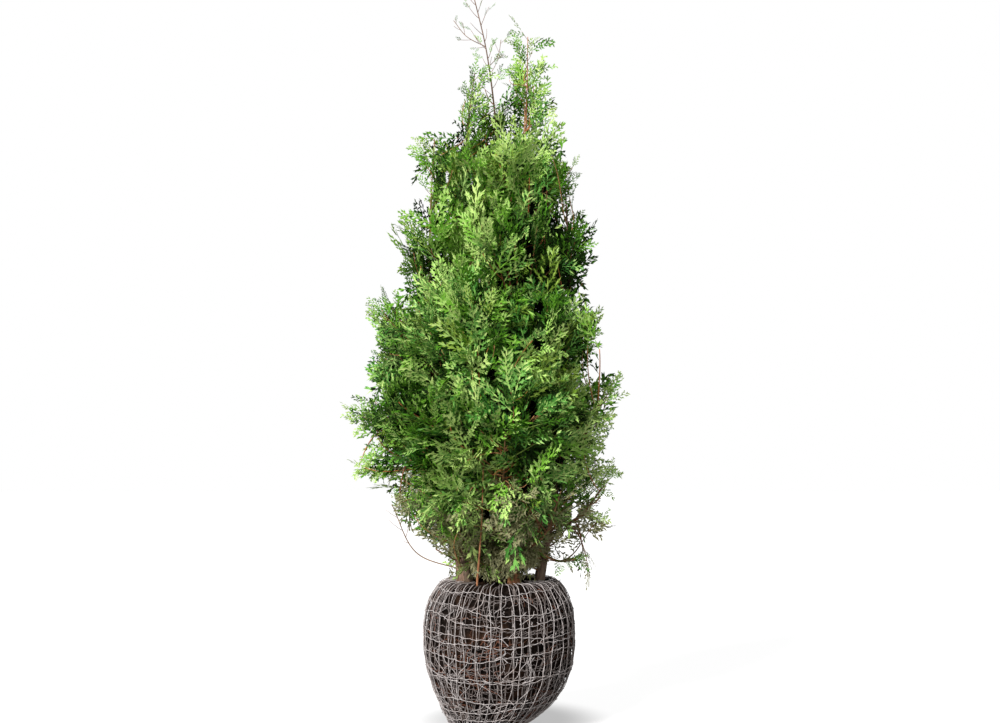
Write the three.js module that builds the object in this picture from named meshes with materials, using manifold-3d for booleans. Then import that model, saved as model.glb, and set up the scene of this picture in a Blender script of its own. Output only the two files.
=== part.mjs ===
// A thuja about 1.75 m tall on a wire-netted root ball: several stems, the limbs that leave
// them, and a crown of separate masses of foliage. Millimetres, +Z up, +X to the right and
// +Y to the back. The origin is on the floor, under the root ball's middle.
import * as THREE from 'three';
import { mergeVertices } from 'three/addons/utils/BufferGeometryUtils.js';
import Module from 'manifold-3d';

const wasm = await Module();
wasm.setup();

// ---------------------------------------------------------------- driving dimensions

const gap = 0.5; // clearance between pieces that touch

const ball = {
  height: 448,
  footRadius: 82,
  girthRadius: 224,
  girthZ: 270,
  topRadius: 168,
  sides: 24,
  steps: 5, // profile steps below the girth, and again above it
  swell: 0.018, // unevenness, as a share of the radius
  footShift: -40, // the rounded foot sits to the left
  girthShift: 9, // and the rest a little to the right
  settle: 60, // the height over which the one gives way to the other
};

// Stems stand on the root ball. late is the power of height that brings in the lean, bow is how
// far the middle stands off it, and radii are those at the foot and at the tip.
const stems = [
  { name: 'trunk', foot: [6, 14], tip: [-72, -4, 2204], bow: [14, 10], late: 6, radii: [20, 1.6] },
  { name: 'leader_right', foot: [50, -42], tip: [92, -30, 2068], bow: [4, -14], late: 1, radii: [13, 1.6] },
  { name: 'stem_left', foot: [-98, -36], tip: [-66, -24, 1962], bow: [-42, -8], late: 2, radii: [17, 1.8] },
  { name: 'stem_right', foot: [127, -8], tip: [204, 6, 1640], bow: [46, 12], late: 1, radii: [12, 2] },
  { name: 'stem_back', foot: [-34, 104], tip: [8, 92, 1800], bow: [-10, 58], late: 1.5, radii: [13, 2] },
  { name: 'front_shoot', foot: [-58, -108], tip: [-30, -176, 1180], bow: [6, -36], late: 1, radii: [5, 1.8] },
];

// Limbs leave a stem's middle line at a height. bow is how far a limb's middle hangs off its chord.
const boughs = [
  {
    name: 'shoulder_leader', from: 'stem_left', at: 640,
    tip: [-188, 8, 1768], bow: [-46, 14, 0], radii: [9, 1.8],
  },
  {
    name: 'bough_low_left', from: 'stem_left', at: 478,
    tip: [-312, -58, 676], bow: [-30, 0, -48], radii: [3, 1.8],
  },
  {
    name: 'bough_low_right', from: 'stem_right', at: 520,
    tip: [232, -48, 512], bow: [0, 0, -12], radii: [4.5, 2.5],
  },
  {
    name: 'bough_front_right', from: 'leader_right', at: 512,
    tip: [186, -170, 724], bow: [18, -6, -30], radii: [5, 2.5],
  },
  {
    name: 'bough_left', from: 'stem_left', at: 720,
    tip: [-372, 24, 950], bow: [-10, 0, -34], radii: [7, 3],
  },
  {
    name: 'bough_right', from: 'stem_right', at: 800,
    tip: [332, 16, 1030], bow: [10, 0, -26], radii: [6, 3],
  },
  {
    name: 'bough_right_low', from: 'stem_right', at: 590,
    tip: [318, -24, 728], bow: [8, 0, -24], radii: [5, 2.5],
  },
  {
    name: 'bough_front', from: 'trunk', at: 640,
    tip: [24, -286, 900], bow: [0, -12, -30], radii: [6, 3],
  },
  {
    name: 'bough_back', from: 'stem_back', at: 640,
    tip: [-20, 316, 900], bow: [0, 12, -30], radii: [6, 3],
  },
  {
    name: 'top_fork_left', from: 'trunk', at: 2046,
    tip: [-130, -4, 2122], bow: [-10, 0, -8], radii: [1.6, 1.1],
  },
  {
    name: 'top_fork_right', from: 'trunk', at: 1984,
    tip: [12, -8, 2064], bow: [8, 0, -8], radii: [1.6, 1.1],
  },
];

const limbShape = {
  stemSides: 6,
  boughSides: 5,
  stemRings: 165, // distance between rings
  boughRings: 120,
  stemFlare: 0.45, // extra radius at the foot, as a share of it
  boughFlare: 0.2,
  flareFade: 1.8, // height over which the flare fades, as a share of the radius at the foot
  taper: 1.3, // power of the taper
  waver: 3,
};

// Rings of masses round the stems. reach is how far they stand out to the left, right, front
// and back, and half is half a ring's height.
const tiers = [
  { name: 'skirt', count: 4, turn: 50, z: 556, half: 96, reach: [160, 205, 168, 168] },
  { name: 'low', count: 5, turn: 18, z: 716, half: 134, reach: [300, 338, 286, 280] },
  { name: 'wide', count: 6, turn: 0, z: 930, half: 166, reach: [412, 338, 352, 346] },
  { name: 'middle', count: 5, turn: 30, z: 1188, half: 168, reach: [382, 306, 320, 312] },
  { name: 'upper', count: 4, turn: 8, z: 1440, half: 160, reach: [292, 266, 250, 246] },
  { name: 'shoulder', count: 4, turn: 45, z: 1650, half: 128, reach: [226, 232, 178, 184] },
];

// Masses that stand off the rings: from a root inside the crown to a tip outside it.
const tufts = [
  { name: 'tuft_left', root: [-96, -22, 1716], tip: [-64, -22, 1966], width: 88 },
  { name: 'tuft_right', root: [100, -28, 1706], tip: [96, -28, 2014], width: 142 },
  { name: 'tuft_back', root: [2, 66, 1706], tip: [0, 40, 1908], width: 112 },
  { name: 'sprig_left', root: [-330, 6, 940], tip: [-462, -8, 962], width: 124 },
  { name: 'sprig_left_high', root: [-290, -20, 1196], tip: [-386, -30, 1316], width: 104 },
  { name: 'sprig_left_low', root: [-286, -30, 812], tip: [-456, -52, 774], width: 96 },
  { name: 'sprig_left_hanging', root: [-256, -56, 732], tip: [-312, -66, 606], width: 74 },
  { name: 'sprig_right', root: [270, 8, 1004], tip: [400, 12, 1056], width: 100 },
  { name: 'sprig_right_mid', root: [250, 0, 806], tip: [392, -6, 738], width: 112 },
  { name: 'sprig_right_low', root: [220, -30, 700], tip: [374, -40, 604], width: 92 },
  { name: 'sprig_right_hanging', root: [214, -52, 530], tip: [288, -60, 452], width: 74 },
  { name: 'sprig_shoulder', root: [-188, 6, 1650], tip: [-250, 2, 1796], width: 74 },
  { name: 'sprig_high_right', root: [166, 0, 1600], tip: [252, -4, 1722], width: 84 },
];

const massShape = {
  away: 0.56, // a mass's centre, as a share of its tier's reach
  lean: 0.35, // how far a mass leans out as it rises
  spread: 0.2, // how far it spreads into its neighbours, as a share of the reach
  stretch: 1.25, // and into the tiers above and below, as a share of its half height
  stagger: 0.16, // every other mass stands higher by this share of the half height
  fineHalf: 100, // masses longer than this each way get finer faces
};

const finishes = {
  earth: { color: 0x3a2a20, roughness: 0.95 },
  bark: { color: 0x7a4a2e, roughness: 0.85 },
  youngBark: { color: 0xa9703f, roughness: 0.8 },
  foliage: [0x3f7a26, 0x4f8f2e, 0x5f9f38, 0x356a24].map((color) => ({ color, roughness: 0.75 })),
};

// ---------------------------------------------------------------- solids and meshes

// A closed three.js geometry as a manifold-3d solid.
function toSolid(geometry) {
  const bare = geometry.clone();
  bare.deleteAttribute('normal');
  bare.deleteAttribute('uv');
  const merged = mergeVertices(bare, 1e-3);
  return new wasm.Manifold(new wasm.Mesh({
    numProp: 3,
    vertProperties: merged.attributes.position.array,
    triVerts: new Uint32Array(merged.index.array),
  }));
}

// The largest body of a solid as a three.js geometry.
function toGeometry(solid) {
  const largest = solid.decompose().reduce((a, b) => (a.volume() > b.volume() ? a : b));
  const mesh = largest.getMesh();
  const positions = new Float32Array(mesh.numVert * 3);
  for (let i = 0; i < mesh.numVert; i++) {
    positions.set(mesh.vertProperties.subarray(i * mesh.numProp, i * mesh.numProp + 3), i * 3);
  }
  const geometry = new THREE.BufferGeometry();
  geometry.setAttribute('position', new THREE.BufferAttribute(positions, 3));
  geometry.setIndex(new THREE.BufferAttribute(mesh.triVerts, 1));
  geometry.computeVertexNormals();
  return geometry;
}

// Moves every vertex of a geometry by a function that changes a Vector3 in place.
function reshape(geometry, move) {
  const position = geometry.attributes.position;
  const vertex = new THREE.Vector3();
  for (let i = 0; i < position.count; i++) {
    vertex.fromBufferAttribute(position, i);
    move(vertex);
    position.setXYZ(i, vertex.x, vertex.y, vertex.z);
  }
  return geometry;
}

function addMesh(group, name, geometry, finish, place = new THREE.Vector3()) {
  geometry.translate(-place.x, -place.y, -place.z);
  const mesh = new THREE.Mesh(geometry, new THREE.MeshStandardMaterial({ ...finish, metalness: 0 }));
  mesh.name = name;
  mesh.position.copy(place);
  group.add(mesh);
}

// ---------------------------------------------------------------- root ball

// Radius at a height: a rounded barrel, fullest at the girth, with a softer shoulder above it.
function ballRadius(z) {
  const { height, footRadius, girthRadius, girthZ, topRadius } = ball;
  if (z <= girthZ) {
    const rise = 1 - (1 - z / girthZ) ** 2;
    return footRadius + (girthRadius - footRadius) * rise ** 0.72;
  }
  const share = (z - girthZ) / (height - girthZ);
  return topRadius + (girthRadius - topRadius) * (1 - share ** 3.2);
}

// The profile's steps lie closer together at the foot and at the shoulder.
function ballProfile() {
  const { height, girthZ, steps } = ball;
  const heights = [];
  for (let i = 0; i < steps; i++) heights.push(girthZ * (i / steps) ** 1.5);
  for (let i = 0; i <= steps; i++) heights.push(girthZ + (height - girthZ) * (i / steps) ** 0.7);
  const wall = heights.map((z) => new THREE.Vector2(ballRadius(z), z));
  return [new THREE.Vector2(0, 0), ...wall, new THREE.Vector2(0, height)];
}

function ballGeometry() {
  const geometry = new THREE.LatheGeometry(ballProfile(), ball.sides);
  geometry.rotateX(Math.PI / 2);
  return reshape(geometry, (v) => {
    const angle = Math.atan2(v.y, v.x);
    const wave = Math.sin(2 * angle + 0.6) + 0.6 * Math.sin(5 * angle + v.z / 70);
    const shift = THREE.MathUtils.lerp(ball.girthShift, ball.footShift, Math.exp(-v.z / ball.settle));
    v.x = v.x * (1 + ball.swell * wave) + shift;
    v.y *= 1 + ball.swell * wave;
  });
}

// ---------------------------------------------------------------- stems and boughs

// A stem's middle line: upright from the ball, with a bow, a late lean and a slight waver.
function stemLine(stem) {
  const [footX, footY] = stem.foot;
  const [tipX, tipY, tipZ] = stem.tip;
  const footZ = ball.height + gap;
  return (share) => {
    const lean = share ** stem.late;
    const bow = Math.sin(Math.PI * share);
    const waver = limbShape.waver * Math.sin(7 * share) * bow;
    return new THREE.Vector3(
      footX + (tipX - footX) * lean + stem.bow[0] * bow + waver,
      footY + (tipY - footY) * lean + stem.bow[1] * bow - waver,
      footZ + (tipZ - footZ) * share,
    );
  };
}

// A bough's middle line: a chord from the stem to the tip, hung off by its bow.
function boughLine(bough, parent) {
  const start = parent.line((bough.at - ball.height) / (parent.topZ - ball.height));
  const end = new THREE.Vector3(...bough.tip);
  const bow = new THREE.Vector3(...bough.bow);
  return (share) => start.clone().lerp(end, share).addScaledVector(bow, Math.sin(Math.PI * share));
}

// Radius along a limb: from thick to thin, with a flare at its foot.
function limbRadius([thick, thin], length, flare) {
  const fade = limbShape.flareFade * thick;
  return (share) => thin + (thick - thin) * (1 - share) ** limbShape.taper
    + flare * thick * Math.exp((-share * length) / fade);
}

// A tapering limb: a cylinder bent along its middle line, with its rings square to the axis.
// A sleeve is the same limb, thicker by extra and longer at its tip.
function limbGeometry(limb, extra = 0) {
  const level = new THREE.Vector3(0, 1, 0).cross(limb.axis);
  if (level.length() < 0.3) level.set(1, 0, 0).cross(limb.axis);
  const side = level.normalize();
  const across = limb.axis.clone().cross(side);
  const geometry = new THREE.CylinderGeometry(1, 1, 1, limb.sides, limb.rings);
  return reshape(geometry, (v) => {
    const share = v.y + 0.5;
    const radius = limb.radius(share) + extra;
    const centre = limb.line(share);
    if (share === 1) centre.addScaledVector(limb.axis, extra);
    v.copy(centre.addScaledVector(across, v.x * radius).addScaledVector(side, v.z * radius));
  });
}

function stemLimb(stem) {
  const length = stem.tip[2] - ball.height;
  return {
    name: stem.name,
    finish: finishes.bark,
    line: stemLine(stem),
    axis: new THREE.Vector3(0, 0, 1),
    sides: limbShape.stemSides,
    rings: Math.round(length / limbShape.stemRings),
    radius: limbRadius(stem.radii, length, limbShape.stemFlare),
    topZ: stem.tip[2],
  };
}

function boughLimb(bough, parent) {
  const line = boughLine(bough, parent);
  const chord = line(1).sub(line(0));
  const length = chord.length();
  return {
    name: bough.name,
    finish: finishes.youngBark,
    line,
    axis: chord.normalize(),
    sides: limbShape.boughSides,
    rings: Math.max(2, Math.round(length / limbShape.boughRings)),
    radius: limbRadius(bough.radii, length, limbShape.boughFlare),
  };
}

// ---------------------------------------------------------------- foliage masses

const degrees = THREE.MathUtils.degToRad;
const sectors = ['right', 'back_right', 'back', 'back_left', 'left', 'front_left', 'front', 'front_right'];

// The three axes of a mass: away from the stems, round them, and along its own length.
function massAxes(outward, along) {
  const long = along.clone().normalize();
  const away = outward.clone().addScaledVector(long, -outward.dot(long)).normalize();
  return [away, long.clone().cross(away), long];
}

// How far a mass reaches in a direction, before its unevenness.
function extent(mass, direction) {
  return 1 / Math.hypot(...mass.axes.map((axis, i) => direction.dot(axis) / mass.half[i]));
}

// How far a tier reaches at an angle: an ellipse with its own half axis on each side.
function tierReach(tier, angle) {
  const [left, right, front, back] = tier.reach;
  const x = Math.cos(angle) / (Math.cos(angle) > 0 ? right : left);
  const y = Math.sin(angle) / (Math.sin(angle) > 0 ? back : front);
  return 1 / Math.hypot(x, y);
}

// The masses of a tier stand round the stems, leaning out as they rise.
function tierMasses(tier) {
  const masses = [];
  for (let i = 0; i < tier.count; i++) {
    const angle = degrees(tier.turn + (360 * i) / tier.count);
    const reach = tierReach(tier, angle);
    const away = massShape.away * reach;
    const stagger = massShape.stagger * tier.half * (i % 2 ? 1 : -1);
    const outward = new THREE.Vector3(Math.cos(angle), Math.sin(angle), 0);
    const broad = (Math.PI * away) / tier.count + massShape.spread * reach;
    masses.push({
      name: `${tier.name}_${sectors[Math.round(angle / degrees(45)) % 8]}`,
      centre: outward.clone().multiplyScalar(away).setZ(tier.z + stagger),
      axes: massAxes(outward, outward.clone().multiplyScalar(massShape.lean).setZ(1)),
      half: [reach - away, broad, massShape.stretch * tier.half],
    });
  }
  return masses;
}

function tuftMass(tuft) {
  const root = new THREE.Vector3(...tuft.root);
  const tip = new THREE.Vector3(...tuft.tip);
  const along = tip.clone().sub(root);
  return {
    name: tuft.name,
    centre: root.lerp(tip, 0.5),
    axes: massAxes(new THREE.Vector3(root.y, -root.x, 0), along),
    half: [tuft.width / 2, tuft.width / 2, along.length() / 2],
  };
}

// Unevenness of a mass in a direction, different for each mass.
function lumps({ x, y, z }, seed) {
  return 0.075 * Math.sin(4.1 * x + 2.3 * z + 1.7 * seed)
    + 0.065 * Math.sin(5.3 * y - 3.1 * z + 2.9 * seed)
    + 0.05 * Math.sin(6.7 * z + 3.7 * x * y + 0.7 * seed);
}

// The planes between a mass and its neighbours: each stands where the two would just touch.
function massWalls(mass, masses) {
  return masses.filter((other) => other !== mass).map((other) => {
    const direction = other.centre.clone().sub(mass.centre);
    const distance = direction.length();
    direction.normalize();
    const mine = extent(mass, direction);
    return { direction, limit: (distance * mine) / (mine + extent(other, direction)) - gap };
  });
}

// An uneven lump round its centre. No vertex passes a wall, so neighbours meet along a gap,
// and only a hanging mass reaches below the top of the root ball.
function massGeometry(mass, masses, seed) {
  const walls = massWalls(mass, masses);
  const floorZ = mass.name.endsWith('hanging') ? 0 : ball.height + gap;
  const fine = mass.half[2] > massShape.fineHalf * massShape.stretch;
  const sphere = new THREE.OctahedronGeometry(1, fine ? 3 : 2);
  return reshape(sphere, (v) => {
    const direction = v.clone().normalize();
    let reach = (1 + lumps(direction, seed)) * extent(mass, direction);
    for (const wall of walls) {
      const facing = direction.dot(wall.direction);
      if (facing > 0) reach = Math.min(reach, wall.limit / facing);
    }
    if (direction.z < 0) reach = Math.min(reach, (mass.centre.z - floorZ) / -direction.z);
    v.copy(mass.centre).addScaledVector(direction, reach);
  });
}

// ---------------------------------------------------------------- assembly

const plant = new THREE.Group();
const wood = new THREE.Group();
const crown = new THREE.Group();
plant.add(wood, crown);

addMesh(plant, 'root_ball', ballGeometry(), finishes.earth);

// Each limb is cut back from the ones before it, so a bough starts at its stem's bark.
const limbs = stems.map(stemLimb);
for (const bough of boughs) {
  limbs.push(boughLimb(bough, limbs.find((limb) => limb.name === bough.from)));
}
const sleeves = limbs.map((limb) => toSolid(limbGeometry(limb, gap)));
limbs.forEach((limb, index) => {
  const earlier = sleeves.slice(0, index);
  const solid = earlier.reduce((left, sleeve) => left.subtract(sleeve), toSolid(limbGeometry(limb)));
  addMesh(wood, limb.name, toGeometry(solid), limb.finish);
});

// The limbs run whole through the crown, with the masses cut round them.
const masses = [...tiers.flatMap(tierMasses), ...tufts.map(tuftMass)];
masses.forEach((mass, index) => {
  const lump = toSolid(massGeometry(mass, masses, index + 1));
  const solid = sleeves.reduce((left, sleeve) => left.subtract(sleeve), lump);
  const finish = finishes.foliage[index % finishes.foliage.length];
  addMesh(crown, mass.name, toGeometry(solid), finish, mass.centre);
});

export default plant;
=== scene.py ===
import math
import bpy
import numpy as np
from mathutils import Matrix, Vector
from mathutils.bvhtree import BVHTree


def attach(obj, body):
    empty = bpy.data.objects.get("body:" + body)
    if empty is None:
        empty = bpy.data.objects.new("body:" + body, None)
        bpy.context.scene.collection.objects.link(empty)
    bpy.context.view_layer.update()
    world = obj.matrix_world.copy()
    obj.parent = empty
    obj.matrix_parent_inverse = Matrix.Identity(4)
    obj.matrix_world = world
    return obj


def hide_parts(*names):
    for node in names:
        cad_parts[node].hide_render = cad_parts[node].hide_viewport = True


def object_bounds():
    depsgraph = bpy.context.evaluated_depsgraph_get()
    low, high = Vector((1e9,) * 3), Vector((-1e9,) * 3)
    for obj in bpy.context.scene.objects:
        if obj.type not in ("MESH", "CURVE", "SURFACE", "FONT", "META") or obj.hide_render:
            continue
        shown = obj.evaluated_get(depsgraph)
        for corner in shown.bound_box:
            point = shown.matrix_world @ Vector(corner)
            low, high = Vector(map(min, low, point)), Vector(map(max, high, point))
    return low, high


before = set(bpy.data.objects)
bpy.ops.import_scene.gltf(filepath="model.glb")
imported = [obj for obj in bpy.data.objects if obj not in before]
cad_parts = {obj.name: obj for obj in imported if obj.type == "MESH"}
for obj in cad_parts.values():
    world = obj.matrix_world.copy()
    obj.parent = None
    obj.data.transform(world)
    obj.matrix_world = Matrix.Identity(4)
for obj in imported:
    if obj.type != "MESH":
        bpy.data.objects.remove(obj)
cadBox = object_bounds()
print("frame:", len(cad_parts), "nodes")

up = np.array([0.0, 0.0, 1.0])
fullTurn = 2 * math.pi
view = dict(camera=(0.009, -5.0, 1.10), lens=60.0, sensor=36.0)  # place in metres, lens in mm


# Small helpers for arrays of points, metres throughout.
def unit(v):
    return v / np.maximum(np.linalg.norm(v, axis=-1, keepdims=True), 1e-12)


def ease(low, high, x):
    t = np.clip((np.asarray(x, float) - low) / (high - low), 0, 1)
    return t * t * (3 - 2 * t)


def turned(v, axis, angle):  # v turned about a unit axis
    return (v * math.cos(angle) + np.cross(axis, v) * math.sin(angle)
            + axis * np.dot(axis, v) * (1 - math.cos(angle)))


def squareTo(v, axis):  # the part of v that is square to axis
    return unit(v - axis * np.sum(v * axis, axis=-1, keepdims=True))


def smoothCurve(knots, values, at):  # a cubic through the values
    slopes = np.gradient(values, knots, axis=0)
    i = np.clip(np.searchsorted(knots, at) - 1, 0, len(knots) - 2)
    width = (knots[i + 1] - knots[i])[:, None]
    t = (at - knots[i])[:, None] / width
    a, b, c, d = values[i], values[i + 1], slopes[i] * width, slopes[i + 1] * width
    return (a + t * c + t * t * (3 * (b - a) - 2 * c - d) + t ** 3 * (2 * (a - b) + c + d))


def lengthsAlong(points):
    return np.concatenate([[0], np.cumsum(np.linalg.norm(np.diff(points, axis=0), axis=1))])


def placeAt(line, along, at):  # the point or points this far along a line
    return np.stack([np.interp(at, along, column) for column in line.T], -1)


def ringNoise(angle, along, cells, cellLength, seed):  # smooth 0..1 noise that closes round a ring
    rng = np.random.default_rng(seed)
    u = np.mod(angle / fullTurn, 1) * cells
    v = (along - np.min(along)) / cellLength
    table = rng.random((cells, int(np.max(v)) + 2))
    i, j = np.floor(u).astype(int) % cells, np.floor(v).astype(int)
    s, t = ease(0, 1, u - np.floor(u)), ease(0, 1, v - j)
    k = (i + 1) % cells
    low = table[i, j] * (1 - s) + table[k, j] * s
    high = table[i, j + 1] * (1 - s) + table[k, j + 1] * s
    return low * (1 - t) + high * t


def meshPiece(name, points, faces, materials, tint=None, smooth=False, grain=None):
    corners = faces.shape[1]
    mesh = bpy.data.meshes.new(name)
    mesh.vertices.add(len(points))
    mesh.vertices.foreach_set("co", points.astype(np.float32).ravel())
    mesh.loops.add(faces.size)
    mesh.loops.foreach_set("vertex_index", faces.astype(np.int32).ravel())
    mesh.polygons.add(len(faces))
    mesh.polygons.foreach_set("loop_start", np.arange(len(faces), dtype=np.int32) * corners)
    for material in materials:
        mesh.materials.append(material)
    if tint is not None:
        mesh.polygons.foreach_set("material_index", tint.astype(np.int32))
    mesh.update(calc_edges=True)
    if smooth:
        mesh.shade_smooth()
    else:
        mesh.shade_flat()
    if grain is not None:  # each point's place on the limb as if it were straight
        layer = mesh.attributes.new("grain", "FLOAT_VECTOR", "POINT")
        layer.data.foreach_set("vector", grain.astype(np.float32).ravel())
    piece = bpy.data.objects.new(name, mesh)
    bpy.context.scene.collection.objects.link(piece)
    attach(piece, "root")
    return piece


def circled(angle, side, across):  # the ways out round a ring
    return np.cos(angle)[..., None] * side + np.sin(angle)[..., None] * across


def aboveFloor(points, least):
    points[..., 2] = np.maximum(points[..., 2], least)
    return points


def wallFaces(rings, sides):  # triangles between the rings of a tube
    i, j = np.meshgrid(np.arange(rings - 1) * sides, np.arange(sides), indexing="ij")
    a, b = i + j, i + (j + 1) % sides
    return np.stack([a, b, b + sides, a, b + sides, a + sides], -1).reshape(-1, 3)


def tubeFaces(rings, sides):  # the same with both ends closed
    j = np.arange(1, sides - 1)
    base = np.stack([0 * j, j + 1, j], -1)
    tip = (rings - 1) * sides + np.stack([0 * j, j, j + 1], -1)
    return np.concatenate([wallFaces(rings, sides), base, tip])


def tubes(paths, radii, sides):  # closed tubes along m paths of n points
    m, n, _ = paths.shape
    along = unit(np.gradient(paths, axis=1))
    chord = unit(paths[:, -1] - paths[:, 0])
    level = np.eye(3)[np.argmin(np.abs(chord), axis=1)][:, None]
    side = unit(np.cross(along, level))
    across = np.cross(along, side)
    ring = circled(np.arange(sides) * fullTurn / sides, side[:, :, None], across[:, :, None])
    points = paths[:, :, None] + ring * radii[:, :, None, None]
    start = np.arange(m) * n * sides
    return points.reshape(-1, 3), (tubeFaces(n, sides) + start[:, None, None]).reshape(-1, 3)


def joined(parts):  # several (points, faces) as one
    start = np.cumsum([0] + [len(points) for points, _ in parts[:-1]])
    return (np.concatenate([points for points, _ in parts]),
            np.concatenate([faces + offset for (_, faces), offset in zip(parts, start)]))


# Materials.
def fromScreen(colour):  # 0..255 screen colour to linear
    c = np.array(colour) / 255
    return (*np.where(c <= 0.04045, c / 12.92, ((c + 0.055) / 1.055) ** 2.4), 1.0)


def newMaterial(name, roughness, specular):
    material = bpy.data.materials.new(name)
    material.use_nodes = True
    shader = material.node_tree.nodes["Principled BSDF"]
    shader.inputs["Roughness"].default_value = roughness
    shader.inputs["Specular IOR Level"].default_value = specular
    return material, shader


def plainMaterial(name, colour, roughness, specular=0.3):
    material, shader = newMaterial(name, roughness, specular)
    shader.inputs["Base Color"].default_value = fromScreen(colour)
    material.diffuse_color = fromScreen(colour)
    return material


def inputLabel(key):  # patchScale is the input Patch Scale
    return "".join(" " + letter if letter.isupper() else letter for letter in key).title()


def addNode(tree, kind, links=(), **settings):  # settings are the node's own or its inputs'
    node = tree.nodes.new(kind)
    for key, value in settings.items():
        if hasattr(node, key):
            setattr(node, key, value)
        else:
            node.inputs[inputLabel(key)].default_value = value
    for socket, source in links:
        tree.links.new(source, node.inputs[socket])
    return node


# Two colours dealt by fine noise, patches of a third, and relief from the same noise.
# stretch draws the pattern out along a limb's grain.
def mottledMaterial(name, dark, light, patch, scale, patchScale, patchAmount, relief,
                    stretch=None, specular=0.2):
    material, shader = newMaterial(name, 0.85, specular)
    tree = material.node_tree
    if stretch:
        source = addNode(tree, "ShaderNodeAttribute", attribute_name="grain").outputs["Vector"]
    else:
        source = addNode(tree, "ShaderNodeTexCoord").outputs["Object"]
    place = addNode(tree, "ShaderNodeMapping", [("Vector", source)], scale=(1, 1, stretch or 1))

    def noise(**settings):
        vector = [("Vector", place.outputs["Vector"])]
        return addNode(tree, "ShaderNodeTexNoise", vector, **settings).outputs["Fac"]

    def ranged(value, **limits):
        return addNode(tree, "ShaderNodeMapRange", [("Value", value)], **limits).outputs["Result"]

    def mixed(share, first, colour):
        node = addNode(tree, "ShaderNodeMix", [("Factor", share)] + first, data_type="RGBA")
        node.inputs[7].default_value = fromScreen(colour)
        return node

    fine = noise(scale=scale, detail=6.0, roughness=0.62)
    broad = noise(scale=patchScale, detail=3.0)
    base = mixed(ranged(fine, fromMin=0.34, fromMax=0.66), [], light)
    base.inputs[6].default_value = fromScreen(dark)
    edge = ranged(broad, fromMin=0.5, fromMax=0.68, toMax=patchAmount)
    colour = mixed(edge, [(6, base.outputs[2])], patch).outputs[2]
    bump = addNode(tree, "ShaderNodeBump", [("Height", fine)], strength=0.7, distance=relief)
    tree.links.new(colour, shader.inputs["Base Color"])
    tree.links.new(ranged(fine, toMin=0.62, toMax=0.95), shader.inputs["Roughness"])
    tree.links.new(bump.outputs["Normal"], shader.inputs["Normal"])
    material.diffuse_color = fromScreen(light)
    return material


stemBark = mottledMaterial("stem_bark", (54, 38, 30), (156, 124, 104), (112, 104, 88),
                           240, 22, 0.5, 0.0020, stretch=0.12)
leaderBark = mottledMaterial("leader_bark", (112, 62, 38), (208, 148, 106), (150, 112, 84),
                             320, 30, 0.4, 0.0006, stretch=0.14)
boughBark = mottledMaterial("bough_bark", (78, 56, 38), (158, 120, 84), (116, 104, 74),
                            340, 30, 0.4, 0.0006, stretch=0.14)
peat = mottledMaterial("peat", (4, 3, 3), (34, 27, 23), (78, 54, 38),
                       150, 13, 0.3, 0.004, specular=0.02)
netWire = mottledMaterial("net_wire", (130, 122, 120), (208, 200, 197), (158, 142, 134),
                          190, 16, 0.4, 0.0003)
buriedWire = mottledMaterial("buried_wire", (76, 69, 67), (150, 140, 136), (104, 88, 80),
                             190, 16, 0.5, 0.0003)
rootSkin = mottledMaterial("root_skin", (70, 40, 30), (138, 92, 72), (104, 78, 60),
                           260, 20, 0.4, 0.0004)

leafTints = [plainMaterial("leaf_" + name, *finish) for name, *finish in (
    ("shade", (20, 36, 10), 0.7, 0.05), ("deep", (36, 65, 16), 0.66, 0.08),
    ("dark", (56, 98, 23), 0.62, 0.1), ("green", (80, 134, 32), 0.6, 0.12),
    ("fresh", (108, 160, 48), 0.56, 0.15), ("bright", (140, 181, 82), 0.54, 0.18),
    ("lime", (166, 200, 108), 0.5, 0.2), ("olive", (104, 104, 64), 0.66, 0.1),
    ("dusty", (140, 139, 102), 0.64, 0.12), ("tip", (186, 210, 122), 0.5, 0.22),
    ("cool_deep", (33, 66, 24), 0.66, 0.08), ("cool", (66, 122, 46), 0.6, 0.12),
    ("cool_light", (112, 166, 76), 0.56, 0.18), ("soft_dark", (60, 86, 38), 0.66, 0.1),
    ("soft", (94, 124, 62), 0.62, 0.12), ("soft_light", (144, 177, 98), 0.58, 0.16),
    ("warm_dark", (60, 82, 24), 0.66, 0.08), ("warm", (100, 130, 40), 0.62, 0.12),
    ("warm_light", (146, 176, 74), 0.58, 0.16))]
twigTints = [plainMaterial("twig_" + name, *finish) for name, *finish in (
    ("brown", (122, 78, 48), 0.7), ("tan", (178, 128, 84), 0.65),
    ("orange", (182, 112, 66), 0.65), ("green", (104, 124, 52), 0.6))]

# Limbs: middle lines and radii are read off the frame's own rings.
limbs = dict(
    stems=["trunk", "leader_right", "stem_left", "stem_right", "stem_back", "front_shoot"],
    boughs={"shoulder_leader": "stem_left", "bough_low_left": "stem_left",
            "bough_low_right": "stem_right", "bough_front_right": "leader_right",
            "bough_left": "stem_left", "bough_right": "stem_right",
            "bough_right_low": "stem_right", "bough_front": "trunk", "bough_back": "stem_back",
            "top_fork_left": "trunk", "top_fork_right": "trunk"},
    planted=0.012,  # how deep a stem stands in the peat
    lineStep=0.006,
    slimming=([0.0, 1.5, 1.9, 2.2], [1.0, 1.0, 0.68, 0.8]),
    slim=dict(front_shoot=0.46, bough_low_left=0.7, bough_front=0.6, bough_front_right=0.8),
)


def nodeMesh(name):
    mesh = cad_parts[name].data
    mesh.calc_loop_triangles()
    flat = np.empty(len(mesh.vertices) * 3)
    mesh.vertices.foreach_get("co", flat)
    tris = np.empty(len(mesh.loop_triangles) * 3, dtype=np.int32)
    mesh.loop_triangles.foreach_get("vertices", tris)
    points, index = np.unique(np.round(flat.reshape(-1, 3), 5), axis=0, return_inverse=True)
    return points, index.reshape(-1)[tris].reshape(-1, 3)


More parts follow.
